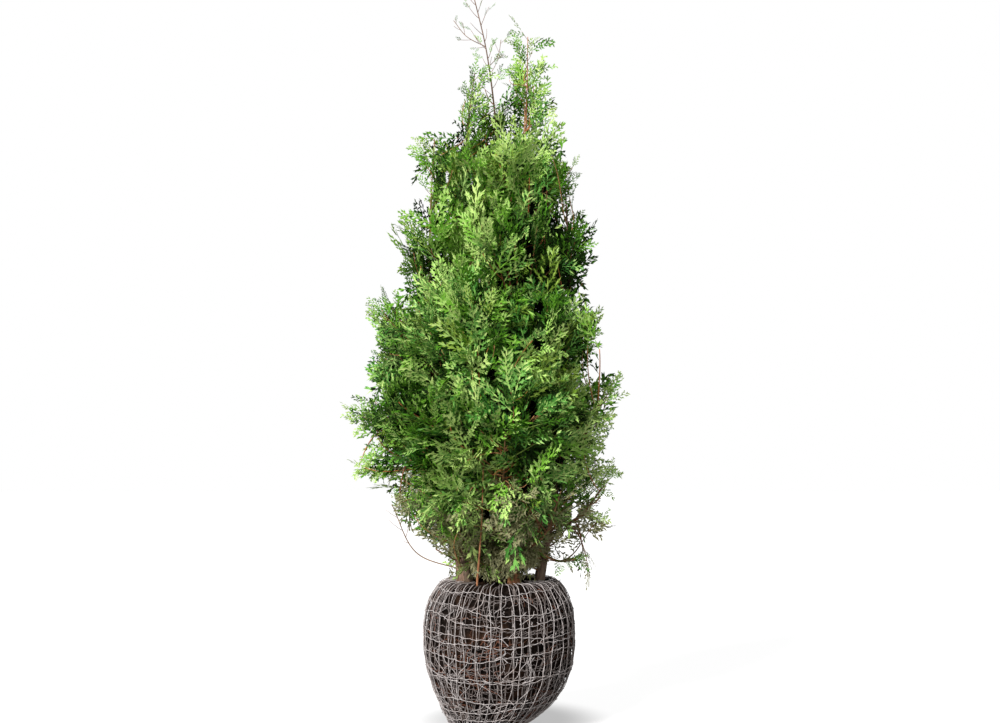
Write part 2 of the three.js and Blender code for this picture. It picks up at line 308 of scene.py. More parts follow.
def limbRings(name):  # from the tip down: ring centres and radii
    points, tris = nodeMesh(name)
    a, b, c = (points[tris[:, k]] for k in range(3))
    facing = unit(np.cross(b - a, c - a))
    total, count = np.zeros_like(points), np.zeros(len(points))
    for k in range(3):
        np.add.at(total, tris[:, k], facing)
        np.add.at(count, tris[:, k], 1)
    flat = (np.linalg.norm(total, axis=1) > 0.9999 * count) & (count >= 5)
    tip = max(np.flatnonzero(flat), key=lambda i: points[i][2])
    sides = int(count[tip])
    down = np.round((points - points[tip]) @ -unit(total[tip]), 4)
    centres, radii = [], []
    for level in np.unique(down):
        ring = points[down == level]
        if len(ring) in (sides, sides + 1):
            middle = ring.mean(0)
            centres.append(middle)
            radii.append(np.linalg.norm(ring - middle, axis=1).max())
    return np.array(centres), np.array(radii), -unit(total[tip])


def buildLine(centres, radii):  # from foot to tip, resampled finely, slimmer high in the crown
    knots = lengthsAlong(centres)
    at = np.linspace(0, knots[-1], max(6, int(knots[-1] / limbs["lineStep"])))
    both = smoothCurve(knots, np.column_stack([centres, radii]), at)
    return both[:, :3], both[:, 3] * np.interp(both[:, 2], *limbs["slimming"])


lines = {}
for name in limbs["stems"]:
    centres, radii, _ = limbRings(name)
    lines[name] = buildLine(centres[::-1], radii[::-1])
for name, parent in limbs["boughs"].items():
    centres, radii, down = limbRings(name)
    steps = np.linspace(0, 1.6, 1601)  # metres along the trail back from the tip
    trail = centres[0] + down * steps[:, None]
    stemPoints = lines[parent][0]
    gaps = np.linalg.norm(trail[:, None] - stemPoints[None], axis=2)
    gaps[steps < np.linalg.norm(centres[-1] - centres[0])] = np.inf
    foot = stemPoints[np.unravel_index(np.argmin(gaps), gaps.shape)[1]]
    centres = np.vstack([foot, centres[::-1]])
    radii = np.concatenate([[radii[-1] * 1.12], radii[::-1]])
    lines[name] = buildLine(centres, radii)
for name, share in limbs["slim"].items():
    lines[name] = (lines[name][0], lines[name][1] * share)
print("limbs:", {name: round(float(lengthsAlong(p)[-1]), 2) for name, (p, _) in lines.items()})

barkShape = dict(
    coarseLength=0.11,  # length of the long fibres
    fineLength=0.03,
    lumpLength=0.16,
    coarse=0.10,  # relief as a share of the radius
    fine=0.05,
    lumps=0.10,
    least=0.00025,
    twist=2.2,  # how far the fibres wind, radians a metre
    sides=(12, 44),  # of a limb's rings, by its thickness
    sidesPerMetre=1900,
)


def barkLimb(name, seed):
    centre, radius = lines[name]
    stem = name in limbs["stems"]
    if stem:
        centre = np.vstack([centre[0] - up * limbs["planted"], centre])
        radius = np.concatenate([[radius[0] * 1.06], radius])
    along = lengthsAlong(centre)
    sides = int(np.clip(radius.max() * barkShape["sidesPerMetre"], *barkShape["sides"]))
    angle = np.arange(sides) * fullTurn / sides
    tangent = unit(np.gradient(centre, axis=0))
    side = squareTo(np.tile([1.0, 0.2, 0.0], (len(centre), 1)), tangent)
    a, s = np.meshgrid(angle, along)
    wound = a + barkShape["twist"] * s
    coarse = ringNoise(wound, s, max(5, sides // 3), barkShape["coarseLength"], seed) - 0.5
    fine = ringNoise(wound, s, max(8, sides // 2), barkShape["fineLength"], seed + 1) - 0.5
    lumps = ringNoise(a, s, 3, barkShape["lumpLength"], seed + 2) - 0.5
    deep = barkShape["coarse"] * coarse + barkShape["fine"] * fine + barkShape["lumps"] * lumps
    out = radius[:, None] * (1 + deep) + barkShape["least"] * coarse
    ring = circled(a, side[:, None], np.cross(tangent, side)[:, None])
    points = centre[:, None] + ring * out[..., None]
    grain = np.stack([radius[:, None] * np.cos(wound), radius[:, None] * np.sin(wound), s], -1)
    return points.reshape(-1, 3), tubeFaces(len(centre), sides), grain.reshape(-1, 3)


stemFinish = {"leader_right": leaderBark, "front_shoot": leaderBark}
for seed, name in enumerate(limbs["stems"]):
    points, tris, grain = barkLimb(name, 100 + 10 * seed)
    finish = stemFinish.get(name, stemBark)
    piece = meshPiece(name + "_bark", points, tris, [finish], smooth=True, grain=grain)
    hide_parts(name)
parts = [barkLimb(name, 300 + 10 * seed) for seed, name in enumerate(limbs["boughs"])]
points, tris = joined([(p, t) for p, t, _ in parts])
piece = meshPiece("boughs_bark", points, tris, [boughBark], smooth=True,
                  grain=np.concatenate([g for _, _, g in parts]))
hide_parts(*limbs["boughs"])
print("bark made")

# Root ball.
ball = dict(
    height=0.448, footRadius=0.082, girthRadius=0.224, girthZ=0.270, topRadius=0.168,
    swell=0.018, footShift=-0.040, girthShift=0.009, settle=0.060,
    soilInset=0.010, soilRelief=0.011, soilSides=300, soilRings=170, soilFloor=0.003,
    soilLumps=[(1.0, 34, 0.040, 21), (0.8, 70, 0.019, 22), (0.55, 140, 0.009, 23)],
)


def ballProfile():  # from under the middle, round the wall, to the middle of the top
    girth, over = ball["girthZ"], ball["height"] - ball["girthZ"]
    z = np.linspace(0, 1, 160)
    z = np.concatenate([girth * z ** 1.6, girth + over * z[1:] ** 0.8])
    rise = 1 - (1 - np.minimum(z, girth) / girth) ** 2
    low = ball["footRadius"] + (ball["girthRadius"] - ball["footRadius"]) * rise ** 0.72
    share = np.clip((z - girth) / over, 0, 1)
    high = ball["topRadius"] + (ball["girthRadius"] - ball["topRadius"]) * (1 - share ** 3.2)
    wall = np.column_stack([np.where(z <= girth, low, high), z])
    outline = np.vstack([[[0.0, 0.0]], wall, [[0.0, ball["height"]]]])
    at = lengthsAlong(outline)
    fine = np.linspace(0, at[-1], 500)
    line = placeAt(outline, at, fine)
    soft = line.copy()
    for k in range(2):  # eases the two corners
        soft[12:-12, k] = np.convolve(line[:, k], np.ones(25) / 25, "valid")
    facing = unit(np.gradient(soft, axis=0))[:, ::-1] * [1, -1]
    return fine / at[-1], soft, facing


profileAt, profileLine, profileFacing = ballProfile()


def wallShare(z):  # where the wall is at this height, as a share of the profile
    wall = (profileAt > 0.12) & (profileAt < 0.8)
    return np.interp(z, profileLine[wall, 1], profileAt[wall])


def ballPoint(angle, share, lift):
    r, z, outR, outZ = (np.interp(share, profileAt, values) for values in
                        (*profileLine.T, *profileFacing.T))
    r, z = r + outR * lift, z + outZ * lift
    wave = np.sin(2 * angle + 0.6) + 0.6 * np.sin(5 * angle + z / 0.07)
    grown = r * (1 + ball["swell"] * wave)
    shift = ball["girthShift"] + (ball["footShift"] - ball["girthShift"]) * np.exp(-z / ball["settle"])
    return np.stack([grown * np.cos(angle) + shift, grown * np.sin(angle), z], -1)


def soilMesh():
    sides, rings = ball["soilSides"], ball["soilRings"]
    angle, at = np.meshgrid(np.arange(sides) * fullTurn / sides, np.linspace(0.004, 0.996, rings))
    length = at * 0.8
    lumps = sum(share * ringNoise(angle, length, *size) for share, *size in ball["soilLumps"])
    lift = -ball["soilInset"] + ball["soilRelief"] * 2 * (lumps / 2.35 - 0.5)
    points = aboveFloor(ballPoint(angle, at, lift), ball["soilFloor"])
    ends = np.array([ballPoint(np.float64(0), np.float64(s), -ball["soilInset"]) for s in (0.0, 1.0)])
    ends[0, 2] = ball["soilFloor"]
    count = sides * rings
    j = np.arange(sides)
    k = (j + 1) % sides
    under = np.stack([0 * j + count, k, j], -1)
    over = np.stack([0 * j + count + 1, count - sides + j, count - sides + k], -1)
    tris = np.concatenate([wallFaces(rings, sides), under, over])
    return np.vstack([points.reshape(-1, 3), ends]), tris


points, tris = soilMesh()
piece = meshPiece("peat_ball", points, tris, [peat], smooth=True)
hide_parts("root_ball")

# Wire net: an outer, brighter layer, a second one under it and a third half in the peat.
net = dict(
    layers=[
        dict(columns=40, rows=12, lift=0.0008, radius=0.00100, wander=0.035, sag=0.013,
             sides=5, seed=31),
        dict(columns=66, rows=17, lift=-0.0020, radius=0.00090, wander=0.08, sag=0.020,
             sides=4, seed=32),
        dict(columns=56, rows=14, lift=-0.0042, radius=0.00092, wander=0.12, sag=0.026,
             sides=4, seed=33),
    ],
    lowRow=0.022, highRow=0.434,
    dip=0.014,  # how far a row hangs at the front and back
    inner=(0.085, 0.125),  # where columns end on top, from the middle
    under=0.055,  # where they end below
    clear=0.024,  # and how far from a stem
    diagonals=400, knots=0.5, ends=26, roots=190,
    wallRange=(0.008, 0.44),  # heights of the diagonals and roots
    rootPatches=[(-2.45, 0.13, 0.34, 0.12), (-0.75, 0.07, 0.3, 0.05), (-1.75, 0.24, 0.2, 0.05)],
)


def onWall(angle, z, lift):
    return ballPoint(angle, wallShare(np.clip(z, *net["wallRange"])), lift)


def topShare(angle, rng):  # a column's end on top, clear of any stem
    reach = rng.uniform(*net["inner"])
    for name in limbs["stems"]:
        foot = lines[name][0][0]
        far, bearing = math.hypot(foot[0], foot[1]), math.atan2(foot[1], foot[0])
        apart = abs((angle - bearing + math.pi) % fullTurn - math.pi) * far
        if far > 0.05 and apart < net["clear"]:
            reach = max(reach, far + net["clear"])
    top = profileAt > 0.75
    return np.interp(-reach, -profileLine[top, 0], profileAt[top])


def netLayer(layer):
    rng = np.random.default_rng(layer["seed"])
    count = layer["columns"]
    angles = (np.arange(count) + rng.uniform(-0.3, 0.3, count)) * fullTurn / count
    spread = np.linspace(net["lowRow"], net["highRow"], layer["rows"])
    heights = spread + rng.uniform(-0.35, 0.35, layer["rows"]) * (spread[1] - spread[0])
    bottom = np.interp(net["under"], profileLine[:100, 0], profileAt[:100])
    paths = []
    for angle in angles:
        share = np.linspace(bottom, topShare(angle, rng), 64)
        phase = rng.uniform(0, fullTurn, 3)
        drift = np.sin(share * 9 + phase[0]) + 0.6 * np.sin(share * 23 + phase[1])
        kinks = np.sin(share * 61 + phase[2]) * 0.12
        spot = angle + layer["wander"] * (drift + kinks) * 0.6
        lift = layer["lift"] + 0.0009 * np.sin(share * 75 + phase[1])
        paths.append(ballPoint(spot, share, lift))
    columns = aboveFloor(np.array(paths), layer["radius"] * 1.1)
    around = np.linspace(0, fullTurn, 181)[:-1]
    paths = []
    for height in heights:
        phase = rng.uniform(0, fullTurn, 4)
        wave = (np.sin(2 * around + phase[0]) + 0.8 * np.sin(3 * around + phase[1])
                + 0.5 * np.sin(7 * around + phase[2])) * 0.5
        hang = 0.25 * np.abs(np.sin(around * count / 2 + phase[3]))
        dip = net["dip"] * np.sin(around) ** 2 * min(1, height / 0.1)
        z = np.clip(height + layer["sag"] * (wave - hang) - dip, 0.006, ball["height"] - 0.006)
        path = ballPoint(around, wallShare(z), layer["lift"] + 0.0006 * np.sin(around * count))
        paths.append(np.vstack([path, path[:2]]))
    made = [tubes(lot, np.full(lot.shape[:2], layer["radius"]), layer["sides"])
            for lot in (columns, np.array(paths))]
    return made, angles, heights


def netPieces(angles, heights):  # diagonals, knots and loose ends of the outer layer
    rng = np.random.default_rng(34)
    paths, wide = [], []
    t = np.linspace(0, 1, 9)
    for _ in range(net["diagonals"]):
        i, j = rng.integers(len(angles)), int((len(heights) - 1) * rng.random() ** 2)
        lean = rng.choice([-1, 1]) * rng.uniform(0.4, 1.6) * fullTurn / len(angles)
        bulge = 0.007 * np.sin(math.pi * t) * rng.uniform(-1, 1)
        z = heights[j] + (heights[j + 1] - heights[j]) * t + bulge
        z -= net["dip"] * math.sin(angles[i]) ** 2
        spot = angles[i] + lean * (t - 0.5) + 0.03 * np.sin(fullTurn * t + rng.uniform(0, 6))
        paths.append(onWall(spot, z, rng.uniform(-0.003, 0.0012)))
        wide.append(rng.uniform(0.0007, 0.0010))
    for angle in angles:  # knots wound round a column where a row meets it
        for height in heights:
            if rng.random() > net["knots"]:
                continue
            lower = height - net["dip"] * math.sin(angle) ** 2
            centre = ballPoint(angle + rng.uniform(-0.02, 0.02), wallShare(lower), 0.001)
            outward = unit(centre * [1, 1, 0])
            side = np.cross(up, outward)
            curl = t[:, None] * 2.6 * math.pi + rng.uniform(0, 6)
            wound = np.cos(curl) * side + np.sin(curl) * outward
            paths.append(centre + 0.0022 * wound + (t[:, None] - 0.5) * rng.uniform(0.006, 0.012) * up)
            wide.append(0.0009)
    for _ in range(net["ends"]):
        angle, z = rng.choice(angles), rng.choice(heights) + rng.uniform(-0.01, 0.01)
        centre = ballPoint(angle, wallShare(z), 0.0)
        outward = unit(centre * [1, 1, 0])
        side = np.cross(up, outward) * rng.uniform(-1, 1) + up * rng.uniform(-1, 1)
        reach = rng.uniform(0.012, 0.026)
        lift = (t[:, None] ** 2) * rng.uniform(0.002, 0.007) * outward
        paths.append(centre + t[:, None] * reach * side + lift)
        wide.append(0.0011)
    paths = aboveFloor(np.array(paths), 0.0016)
    return tubes(paths, np.array(wide)[:, None] * np.ones((1, 9)), 4)


def rootFibres():
    rng = np.random.default_rng(41)
    t = np.linspace(0, 1, 8)
    patches, paths, wide = net["rootPatches"], [], []
    for i in range(net["roots"]):
        if i % 2:
            at, z, widen, tall = patches[rng.integers(len(patches))]
            angle, z = rng.normal(at, widen), rng.normal(z, tall)
        else:
            angle, z = rng.uniform(0, fullTurn), rng.uniform(0.02, 0.43)
        run, climb = rng.uniform(-0.35, 0.35), rng.uniform(-0.06, 0.06)
        spot = angle + run * t + 0.05 * np.sin(t * rng.uniform(4, 9) + rng.uniform(0, 6))
        height = z + climb * t + 0.006 * np.sin(t * rng.uniform(4, 9))
        lift = -0.0055 + 0.004 * np.sin(math.pi * t) * rng.uniform(0.2, 1)
        paths.append(onWall(spot, height, lift))
        wide.append(rng.uniform(0.0006, 0.0016) * (1 - 0.6 * t))
    return tubes(np.array(paths), np.array(wide), 4)


outer, angles, heights = netLayer(net["layers"][0])
points, tris = joined([*outer, netPieces(angles, heights)])
meshPiece("wire_net", points, tris, [netWire], smooth=True)
wireCount = len(tris)
points, tris = joined([part for layer in net["layers"][1:] for part in netLayer(layer)[0]])
meshPiece("wire_net_under", points, tris, [buriedWire], smooth=True)
points, fibres = rootFibres()
meshPiece("root_fibres", points, fibres, [rootSkin], smooth=True)
print("root ball made:", wireCount + len(tris), "wire triangles,", len(fibres), "root triangles")

# Crown: where the masses stand, boughlets grow to their outer faces and carry flat sprays.
crown = dict(
    seed=73,
    twigShares=[0.34, 0.30, 0.16, 0.20],  # of brown, tan, orange and green twigs
    spacing=0.065,  # between the ends of boughlets
    skirtSpacing=0.052,  # and of the short ones near the root ball
    innerLayers=[(0.085, 0.085), (0.165, 0.115)],  # depth and spacing of the boughlets behind
    leafy=0.20,  # leafy length of a boughlet
    every=0.029,  # between its sprays
    sprayLength=[0.164, 0.094],  # large and small sprays
    size=(0.75, 1.22), shortSize=0.8,  # times that, by boughlet
    stand=(0.35, 0.85),  # how far back from the face a boughlet ends, in large sprays
    toneSpread=(0.12, 0.13),  # of the scores between boughlets, and along one
    fineAbove=1.74,  # sprays are small from this height up
    shade=(0.13, 0.46, 0.042),  # painted light and shade: a spray lightens at the face and darkens to this depth inside
    caps=[(-0.30, -0.125, 1.785), (0.05, 0.20, 2.075)],  # heights no spray passes between two x
    footEdge=([0.46, 0.54, 0.62, 0.70], [0.150, 0.160, 0.245, 0.350]),  # reach on the left by height
    spread=46,  # degrees between a spray and its boughlet
    proud=0.015,  # how far a tip may stand off the masses
    light=unit(np.array([-0.62, -0.62, 0.62])),
    beyond=0.012,  # and outside the frame's box
    lowest=(0.415, 0.438, 0.452),  # tips' least height: far right, at the front, elsewhere
    shrink=0.84,  # a spray that doesn't fit is shortened by steps
    leastShrunk=0.42,  # down to this share
    sampleArea=0.00022,  # of the masses' faces
    soilTop=0.462,  # only hanging masses are used below this height
    nearest=24,  # limb points a boughlet may start from
    rise=([0.5, 0.9, 1.6], [0.15, 0.45, 0.9]),  # how far below its goal it starts, by height
    lift=([0.5, 0.75, 1.0, 1.35, 1.7, 2.0], [-0.05, 0.1, 0.35, 0.75, 1.2, 1.6]),  # how far its end turns up
    rim=84,  # hanging boughlets round the foot
    rimReach=(0.09, 0.155), rimHeight=(0.465, 0.60),
    rimGap=(-0.13, -0.045),  # none before the left stems, between two x
    footFront=14,  # and more before the right stem, in this box
    footBox=[(-0.01, 0.10), (-0.15, -0.09), (0.46, 0.54)],
    # Openings, and pockets of painted shade, of the front: x, z and half sizes. Fans of bright sprays: x,
    # z. In mm.
    gaps=np.array([(-75, 1632, 5, 34), (-150, 1655, 7, 30), (-52, 1340, 6, 12), (232, 648, 12, 30),
                   (205, 585, 10, 16), (112, 470, 24, 12)]) / 1000,
    pockets=np.array([(108, 955, 18, 40), (105, 1560, 18, 28), (126, 1262, 18, 26),
                      (86, 724, 18, 26), (-16, 1064, 14, 22), (168, 1510, 18, 30),
                      (96, 1440, 16, 30), (120, 1150, 18, 22), (188, 800, 16, 24),
                      (144, 1610, 14, 22), (6, 1334, 10, 20), (-110, 1760, 16, 26),
                      (172, 890, 12, 18), (-30, 646, 12, 26), (-190, 1060, 14, 20),
                      (-240, 940, 12, 18), (150, 1370, 12, 24), (-65, 1280, 10, 16)]) / 1000,
    fans=np.array([(165, 1165), (205, 1115), (185, 1065), (215, 1030), (150, 1100), (180, 1000),
                   (25, 870), (-50, 930), (-80, 1440), (-130, 1500), (30, 1660)]) / 1000,
    thin=[(0.13, 0.30, 0.46, 0.76, 0.50), (0.19, 0.30, 1.08, 1.70, 0.35),
          (-0.30, -0.21, 1.40, 1.62, 0.3)],  # between x, between z, the share left out
    pocketDepth=(-0.04, 0.12),  # a pocket is open before the first y and painted dark as shade up to the second
    clear=[("front_shoot", 0.46, 0.80, 0.011), ("front_shoot", 0.88, 0.96, 0.006),
           ("trunk", 1.32, 1.39, 0.006), ("shoulder_leader", 1.35, 1.42, 0.006),
           ("stem_right", 0.68, 0.76, 0.006), ("stem_left", 1.60, 1.70, 0.006),
           ("leader_right", 1.76, 1.99, 0.006), ("bough_front_right", 0.58, 0.71, 0.007),
           ("stem_left", 0.45, 0.53, 0.008)],  # limbs seen from the front: between z, half width
)
regions = {
    "crown_top": ["tuft_"],
    "crown_shoulder": ["shoulder_front", "shoulder_back", "sprig_shoulder", "sprig_high_right"],
    "crown_upper": ["upper_"],
    "crown_middle_left": ["middle_left", "middle_front_left", "sprig_left_high"],
    "crown_middle_right": ["middle_back", "middle_front_right"],
    "crown_wide_left": ["wide_left", "wide_front_left", "wide_back_left", "sprig_left"],
    "crown_wide_right": ["wide_right", "wide_front_right", "wide_back_right", "sprig_right"],
    "crown_low_left": ["low_left", "low_front_left", "low_back", "sprig_left_low",
                       "sprig_left_hanging"],
    "crown_low_right": ["low_right", "low_front_right", "sprig_right_mid", "sprig_right_low",
                        "sprig_right_hanging"],
    "crown_skirt": ["skirt_"],
}
masses = [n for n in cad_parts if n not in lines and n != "root_ball"]


def regionOf(name):
    found = [(len(start), region) for region, starts in regions.items()
             for start in starts if name.startswith(start)]
    return max(found)[1]


def blade(base, along, facing, length, width, fold):
    side = np.cross(facing, along)
    middle = base + along * 0.44 * length + facing * fold * width
    return [base, middle + side * width / 2, base + along * length, middle - side * width / 2]


# One spray, 1 long: a midrib, branchlets by turns on either side, and leaf tips along each.
fronds = [
    dict(count=12, reach=0.40, leaf=0.084, every=0.043, wide=0.045, ribs=5),
    dict(count=9, reach=0.40, leaf=0.118, every=0.080, wide=0.056, ribs=4),
]


spray = dict(
    bend=0.24,  # of the midrib, to either side
    bow=(0.05, 0.35),  # of a branchlet at each step
    angle=(47, 18, 9),  # degrees: a branchlet at the foot, how much less at the tip, and its stray
    reach=(0.56, 1.30),  # times a branchlet's length
    leafAngle=(26, 38),
    fold=0.12,  # of a blade along its middle
    lightShare=0.4, darkShare=0.36,  # of branchlet steps given a painted highlight and of leaf tips given painted shade
    shapes=8,  # of each kind
)


def sprayTemplate(frond, seed):  # the blades' corners, and the steps of painted highlight or painted shade on each
    rng = np.random.default_rng(seed)
    corners, lighter = [], []
    bend = rng.uniform(-spray["bend"], spray["bend"])
    flat = np.array([0.0, 0.0, 1.0])
    wide = frond["wide"]

    def rib(x):
        return np.array([x, bend * x * x, 0.0])

    def ribWay(x):
        return unit(np.array([1.0, 2 * bend * x, 0.0]))

    def add(base, way, facing, length, width, light):
        corners.append(blade(base, way, facing, length, width, spray["fold"]))
        lighter.append(light)

    for x in np.linspace(0, 0.82, frond["ribs"]):
        last = x > 0.8
        add(rib(x), ribWay(x), flat, 0.2 if last else 1.2 / frond["ribs"], wide * 0.8, 2 if last else 1)
    for i in range(frond["count"]):
        x = 0.09 + 0.84 * (i + rng.uniform(-0.2, 0.2)) / (frond["count"] - 1)
        side = 1 if i % 2 else -1
        reach = 0.06 + frond["reach"] * (1 - x) ** 0.75 * float(ease(-0.16, 0.22, x))
        reach *= rng.uniform(*spray["reach"])
        widest, less, stray = spray["angle"]
        angle = math.radians(widest - less * x + rng.uniform(-stray, stray))
        facing = unit(flat + np.array([0, side * rng.uniform(-0.5, 0.2), rng.uniform(-0.1, 0.1)]))
        way = squareTo(turned(ribWay(x), flat, side * angle), facing)
        steps = max(1, round(reach / 0.15))
        bow = rng.uniform(*spray["bow"])
        spots, ways = [rib(x)], []
        for step in range(steps):
            last = step == steps - 1
            ways.append(way)
            spots.append(spots[-1] + way * reach / steps)
            light = 2 if last and x > 0.3 else int(last or rng.random() < spray["lightShare"])
            add(spots[-2], way, facing, reach / steps * (1.25 if last else 1.15), wide, light)
            way = turned(way, facing, -side * bow)
        at, half = frond["every"] * rng.uniform(0.8, 1.1), side
        while at < reach - 0.3 * frond["leaf"]:
            step = min(steps - 1, int(at / reach * steps))
            base = spots[step] + ways[step] * (at - step * reach / steps)
            leafWay = turned(ways[step], facing, half * math.radians(rng.uniform(*spray["leafAngle"])))
            leaf = frond["leaf"] * (1.15 - 0.6 * at / reach) * rng.uniform(0.8, 1.15)
            leaf = min(leaf, 0.55 * reach + 0.02)
            add(base, leafWay, facing, leaf, wide * 0.8, -int(rng.random() < spray["darkShare"]))
            at += frond["every"] * rng.uniform(0.85, 1.15)
            half = -half
    return np.array(corners), np.array(lighter)


templates = [[sprayTemplate(frond, 500 + 20 * k + i) for i in range(spray["shapes"])]
             for k, frond in enumerate(fronds)]
print("spray triangles:", [[2 * len(corners) for corners, _ in kind] for kind in templates])


def crownSurface():  # sample points on the masses' outer faces, with their normals
    rng = np.random.default_rng(61)
    meshes = {name: nodeMesh(name) for name in masses}
    allPoints, allTris = joined([meshes[name] for name in masses])
    tree = BVHTree.FromPolygons(allPoints.tolist(), allTris.tolist())
    found = []
    for name in masses:
        points, tris = meshes[name]
        a, b, c = (points[tris[:, k]] for k in range(3))
        cross = np.cross(b - a, c - a)
        area = np.linalg.norm(cross, axis=1) / 2
        count = int(area.sum() / crown["sampleArea"])
        pick = rng.choice(len(tris), count, p=area / area.sum())
        u, v = rng.random((2, count, 1))
        flip = u + v > 1
        u, v = np.where(flip, 1 - u, u), np.where(flip, 1 - v, v)
        spots = a[pick] + u * (b - a)[pick] + v * (c - a)[pick]
        facing = unit(cross)[pick]
        for spot, normal in zip(spots, facing):
            buried = spot[2] < crown["soilTop"] and "hanging" not in name
            below = normal[2] < -0.75 and spot[2] < 0.62
            inner = tree.ray_cast(Vector(spot + normal * 0.0008), Vector(normal), 0.02)[0] is not None
            if not (buried or below or inner):
                found.append((name, spot, normal))
    order = rng.permutation(len(found))
    return [found[i] for i in order], tree


def spaced(found, spacing, move=0.0):  # keeps points no closer than the spacing
    kept, cells = [], {}
    for name, spot, normal in found:
        spot = spot - normal * move
        cell = tuple(np.floor(spot / spacing).astype(int))
        near = [q for step in np.ndindex(3, 3, 3)
                for q in cells.get(tuple(cell[k] + step[k] - 1 for k in range(3)), ())]
        if all(np.dot(spot - q, spot - q) > spacing ** 2 for q in near):
            cells.setdefault(cell, []).append(spot)
            kept.append((name, spot, normal))
    return kept


surface, crownTree = crownSurface()
goals = [(*g, 0.0) for g in spaced(surface, crown["spacing"])]
short = [g for g in surface if g[1][2] < 0.66 and not g[0].startswith("sprig")]
goals += [(*g, -1.0) for g in spaced(short, crown["skirtSpacing"], 0.015)]
for depth, spacing in crown["innerLayers"]:
    goals += [(*g, depth / 0.085) for g in spaced(surface, spacing, depth)
              if math.hypot(g[1][0], g[1][1]) > 0.02 and g[1][2] > 0.5 and not g[0].startswith("sprig")]


def rimGoals():  # short hanging boughlets round the stems' feet, fewer before the left ones
    rng = np.random.default_rng(62)
    found = []
    for i in range(crown["rim"]):
        angle = fullTurn * (i + rng.uniform(-0.4, 0.4)) / crown["rim"]
        out = np.array([math.cos(angle), math.sin(angle), 0.0])
        spot = out * rng.uniform(*crown["rimReach"]) + up * rng.uniform(*crown["rimHeight"])
        if spot[1] < 0 and crown["rimGap"][0] < spot[0] < crown["rimGap"][1]:
            continue
        side = ("front" if spot[1] < 0 else "back") + ("_left" if spot[0] < 0 else "_right")
        found.append(("skirt_" + side, spot, unit(out - 0.35 * up), -2.0))
    for _ in range(crown["footFront"]):
        spot = np.array([rng.uniform(*side) for side in crown["footBox"]])
        found.append(("skirt_front_right", spot, unit(np.array([0.0, -1.0, -0.35])), -2.0))
    return found


def fanGoals():  # extra boughlets where the front shows bright fans
    found = []
    for x, z in crown["fans"]:
        front = [g for g in surface if g[2][1] < -0.2 and not g[0].startswith("sprig")]
        name, spot, normal = min(front, key=lambda g: math.hypot(g[1][0] - x, g[1][2] - z))
        lean = unit(normal + np.array([0.7 if x > 0.1 else 0.0, -0.2, 0.2]))
        found.append((name, spot + 0.022 * lean, lean, 0.0))
    return found


goals += rimGoals() + fanGoals()
print("crown:", len(surface), "samples,", len(goals), "boughlets")

carriers = []
for name, (line, radius) in lines.items():
    if name in ("bough_low_left", "top_fork_left", "top_fork_right"):
        continue
    lowest = 0.80 if name == "front_shoot" else 0.47
    for i in range(4, len(line) - 3, 2):
        if line[i][2] > lowest:
            carriers.append((*line[i], radius[i]))
carriers = np.array(carriers)


def liftAt(name, z):  # how much a boughlet's end turns up, more so higher in the crown
    if "hanging" in name:
        return -0.9
    if name in ("sprig_left_low", "sprig_right_low", "sprig_right_mid"):
        return -0.25
    return float(np.interp(z, *crown["lift"]))


sprays = []  # origin, way, facing, length, sag, score, dullness, kind, region
boughlets = []  # path, radii, region, tint


def standsOff(point):  # how far outside the masses a point is, less than nothing inside
    place, normal, _, far = crownTree.find_nearest(Vector(point))
    return far if (Vector(point) - place).dot(normal) > 0 else -far


def hidesLimb(point):  # stands before a limb that shows from the front
    for name, low, high, half in crown["clear"]:
        if low < point[2] < high:
            line = lines[name][0]
            nearest = line[np.argmin(np.abs(line[:, 2] - point[2]))]
            if abs(point[0] - nearest[0]) < half and point[1] < nearest[1] + 0.01:
                return True
    return False


def misplaced(tip, length, sag, proud):
    right, front, other = crown["lowest"]
    lowest = right if tip[0] > 0.2 else front if tip[1] < -0.13 else other
    hung = tip[2] - sag * length < lowest
    capped = any(low < tip[0] < high and tip[2] > top for low, high, top in crown["caps"])
    left = tip[2] < 0.70 and -tip[0] > np.interp(tip[2], *crown["footEdge"])
    under = left or np.any(tip < np.array(cadBox[0]) - crown["beyond"])
    over = np.any(tip > np.array(cadBox[1]) + crown["beyond"])
    return hung or capped or under or over or (proud is not None and standsOff(tip) > proud)


def addSpray(origin, way, facing, length, sag, score, dull, kind, region, proud=None):
    least = length * crown["leastShrunk"]
    while misplaced(origin + way * length, length, sag, proud):
        length *= crown["shrink"]
        if length < least:
            return 0
    # Painted shade: the deeper a spray's tip stands inside the masses, the darker it is; at the face it is
    # lighter.
    if proud is not None:
        face, fall, deep = crown["shade"]
        score += face - fall * min(1, max(0, -standsOff(origin + way * length * 0.8)) / deep)
    if any(hidesLimb(origin + way * share * length) for share in (0.2, 0.5, 0.8)):
        return 0
    sprays.append((origin, way, facing, length, sag, score, dull, kind, region))
    return 1


# Painted light and shade: brighter and darker zones of the front, x, z and half sizes in cm, and how much
# in hundredths.
paintedLightAndShade = np.array([
    (-7, 144, 12, 20, 28), (-19, 152, 7, 10, 5), (-12, 171, 9, 12, -43), (5, 166, 8, 7, 40),
    (15, 144, 10, 24, -42), (-26, 108, 12, 16, -12), (-7, 87, 7, 15, 50), (-9, 118, 7, 8, 18),
    (19, 110, 7, 8, 43), (10, 90, 6, 12, -43), (28, 82, 9, 22, 43), (22, 62, 8, 10, 28),
    (2, 95, 5, 7, -33), (3, 184, 5, 8, -25), (9, 125, 7, 9, -35), (2, 78, 5, 6, 30),
    (2, 156, 5, 5, -10), (-25, 86, 7, 7, -20), (11, 171, 6, 8, 20), (-10, 71, 11, 10, 33),
    (28, 66, 8, 8, 12), (-16, 136, 5, 8, -25), (8, 54, 12, 7, 25), (3, 66, 5, 5, -28),
    (0, 112, 7, 10, -22), (3, 128, 6, 7, -16), (20, 150, 6, 16, -14), (26, 110, 5, 10, -12),
    (-20, 98, 7, 7, -12), (7, 50, 12, 5, 12),
]) / 100
